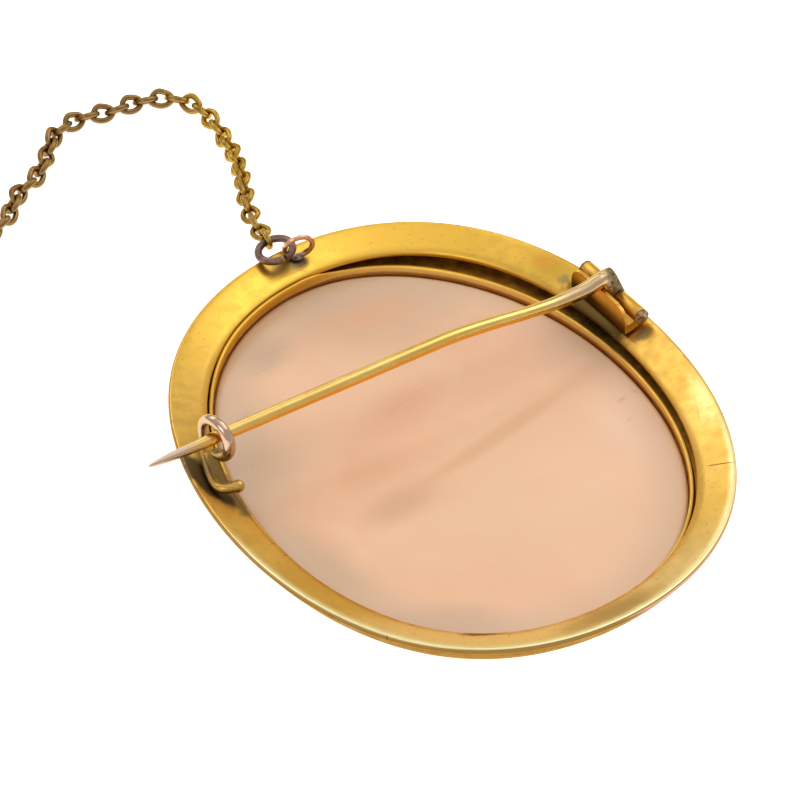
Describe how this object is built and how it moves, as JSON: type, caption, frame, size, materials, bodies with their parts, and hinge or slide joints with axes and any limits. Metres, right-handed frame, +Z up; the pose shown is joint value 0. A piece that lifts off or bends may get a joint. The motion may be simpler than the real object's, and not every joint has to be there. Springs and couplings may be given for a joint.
{
  "type": "oval brooch",
  "caption": "Oval gold-framed shell cameo brooch lying face down, showing its smooth shell back, long hinged pin, wire catch and a safety chain trailing from a loop.",
  "frame": {"origin": "on the surface the brooch lies on, straight below the middle of the oval frame", "axes": "+Z up from the surface; +Y along the length of the oval, towards the chain loop; +X towards the hinge of the pin"},
  "size_m": [0.0442, 0.0723, 0.0083],
  "materials": {
    "gold": "satin, brushed warm yellow gold",
    "pin_gold": "polished yellow gold with a pale point",
    "rose_gold": "polished pinkish gold",
    "copper_gold": "polished copper-coloured gold",
    "dark_metal": "dull, oxidised dark brown",
    "grey_metal": "filed, dull grey",
    "chain_gold": "worn yellow gold, browner to the free end",
    "shell": "smooth, semi-gloss, cream to peach"
  },
  "bodies": {
    "brooch_body": {"frame": "gold", "cameo": "shell", "hinge": "gold", "rivet": "grey_metal", "catch": "rose_gold", "chain_loop": "copper_gold", "jump_ring": "dark_metal", "link_01": "chain_gold", "link_02": "chain_gold", "link_03": "chain_gold", "link_04": "chain_gold", "link_05": "chain_gold", "link_06": "chain_gold", "link_07": "chain_gold", "link_08": "chain_gold", "link_09": "chain_gold", "link_10": "chain_gold", "link_11": "chain_gold", "link_12": "chain_gold", "link_13": "chain_gold", "link_14": "chain_gold", "link_15": "chain_gold", "link_16": "chain_gold", "link_17": "chain_gold", "link_18": "chain_gold", "link_19": "chain_gold", "link_20": "chain_gold", "link_21": "chain_gold", "link_22": "chain_gold", "link_23": "chain_gold", "link_24": "chain_gold", "link_25": "chain_gold", "link_26": "chain_gold", "link_27": "chain_gold", "link_28": "chain_gold", "link_29": "chain_gold", "link_30": "chain_gold", "link_31": "chain_gold", "link_32": "chain_gold", "link_33": "chain_gold", "link_34": "chain_gold", "link_35": "chain_gold", "link_36": "chain_gold", "link_37": "chain_gold", "link_38": "chain_gold"},
    "pin": {"pin_stem": "pin_gold"}
  },
  "joints": [
    {"name": "pin_hinge", "type": "hinge", "parent": "brooch_body", "child": "pin", "pos_m": [0.0167, 0.00957, 0.00451], "axis": [-0.2209, 0.9731, -0.0652], "range_deg": [0, 90]}
  ]
}
